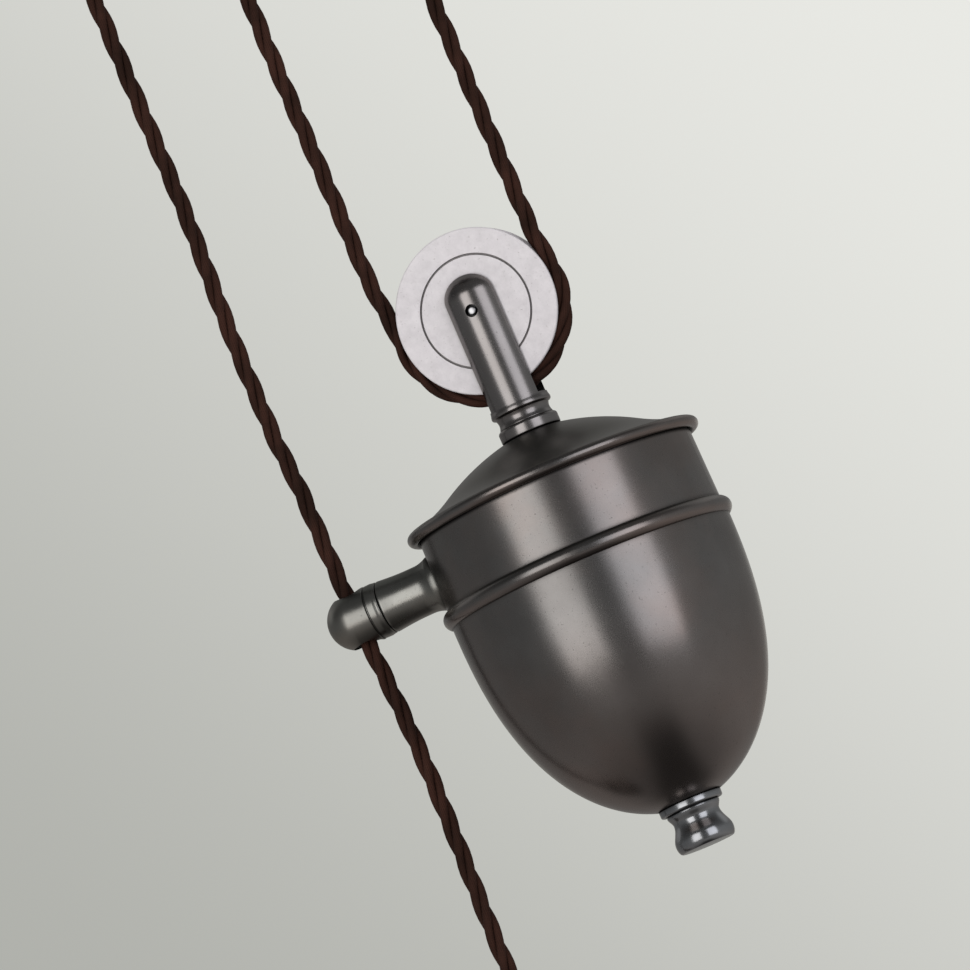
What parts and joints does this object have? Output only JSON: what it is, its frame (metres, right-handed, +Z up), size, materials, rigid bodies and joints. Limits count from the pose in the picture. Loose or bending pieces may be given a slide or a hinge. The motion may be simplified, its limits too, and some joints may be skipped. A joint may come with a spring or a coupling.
{
  "type": "rise-and-fall pendant light",
  "caption": "Rise-and-fall pendant: ceiling rose, grooved wheels in slotted yokes, acorn counterweight with a guide arm, twisted flex and a bare lampholder.",
  "frame": {"origin": "on the ceiling, at the centre of the rose's strap", "axes": "+Z up; X in the plane of the cord runs, with the counterweight's guide arm towards -X; the wheels turn about Y"},
  "size_m": [0.1773, 0.17, 0.6188],
  "materials": {
    "aged_bronze": "satin",
    "wheel_white": "satin",
    "plain_brass": "satin",
    "zinc_steel": "satin",
    "ballast_iron": "matte",
    "brown_flex": "matte",
    "white_ceramic": "gloss",
    "liner_black": "satin"
  },
  "bodies": {
    "ceiling": {"rose_cup": "aged_bronze", "ceiling_strap": "zinc_steel", "cover_screws": "aged_bronze", "terminal_block": "white_ceramic", "terminal_screws": "plain_brass", "earth_screw": "plain_brass", "rose_grip": "aged_bronze", "rose_grip_nut": "plain_brass", "rose_grip_screw": "plain_brass", "ceiling_yoke": "aged_bronze", "ceiling_stud": "zinc_steel", "ceiling_washer": "zinc_steel", "ceiling_nut": "zinc_steel", "ceiling_axle": "zinc_steel", "cord_rose_tail": "brown_flex", "cord_fixed_run": "brown_flex", "cord_middle_run": "brown_flex", "cord_ceiling_bend": "brown_flex", "cord_lamp_run": "brown_flex"},
    "upper_wheel": {"ceiling_wheel": "wheel_white", "ceiling_bush": "plain_brass"},
    "weight": {"weight_yoke": "aged_bronze", "weight_axle": "zinc_steel", "weight_lid": "aged_bronze", "weight_band": "aged_bronze", "weight_bowl": "aged_bronze", "tie_rod": "zinc_steel", "lid_washer": "zinc_steel", "lid_nut": "zinc_steel", "ballast_lower": "ballast_iron", "ballast_middle": "ballast_iron", "ballast_upper": "ballast_iron", "ballast_washer": "zinc_steel", "ballast_nut": "zinc_steel", "bottom_finial": "aged_bronze", "guide_arm": "aged_bronze", "guide_eye": "aged_bronze", "eye_liner": "liner_black", "guide_washer": "zinc_steel", "guide_nut": "zinc_steel", "cord_weight_bend": "brown_flex"},
    "lower_wheel": {"weight_wheel": "wheel_white", "weight_bush": "plain_brass"},
    "lamp": {"lamp_grip": "aged_bronze", "lamp_grip_nut": "plain_brass", "lamp_grip_screw": "plain_brass", "lamp_cap": "aged_bronze", "lamp_skirt": "aged_bronze", "shade_ring": "aged_bronze", "lamp_insert": "white_ceramic", "socket_shell": "plain_brass", "centre_contact": "plain_brass", "lamp_terminals": "plain_brass", "cord_lamp_tail": "brown_flex"}
  },
  "joints": [
    {"name": "weight_slide", "type": "slide", "parent": "ceiling", "child": "weight", "axis": [0, 0, 1], "range_m": [-0.045, 0.11], "deforming": ["cord_fixed_run", "cord_middle_run"]},
    {"name": "lamp_slide", "type": "slide", "parent": "ceiling", "child": "lamp", "axis": [0, 0, 1], "range_m": [-0.22, 0.09], "deforming": ["cord_lamp_run"]},
    {"name": "lower_wheel_spin", "type": "hinge", "parent": "weight", "child": "lower_wheel", "pos_m": [0.03067, 0, -0.3098], "axis": [0, 1, 0], "continuous": true},
    {"name": "upper_wheel_spin", "type": "hinge", "parent": "ceiling", "child": "upper_wheel", "pos_m": [-0.03208, 0, -0.0898], "axis": [0, 1, 0], "continuous": true}
  ],
  "couplings": [
    {"joint": "lamp_slide", "follows": "weight_slide", "ratio": -2},
    {"joint": "lower_wheel_spin", "follows": "weight_slide", "rad_per_m": 29.851},
    {"joint": "upper_wheel_spin", "follows": "weight_slide", "rad_per_m": -68.376}
  ]
}
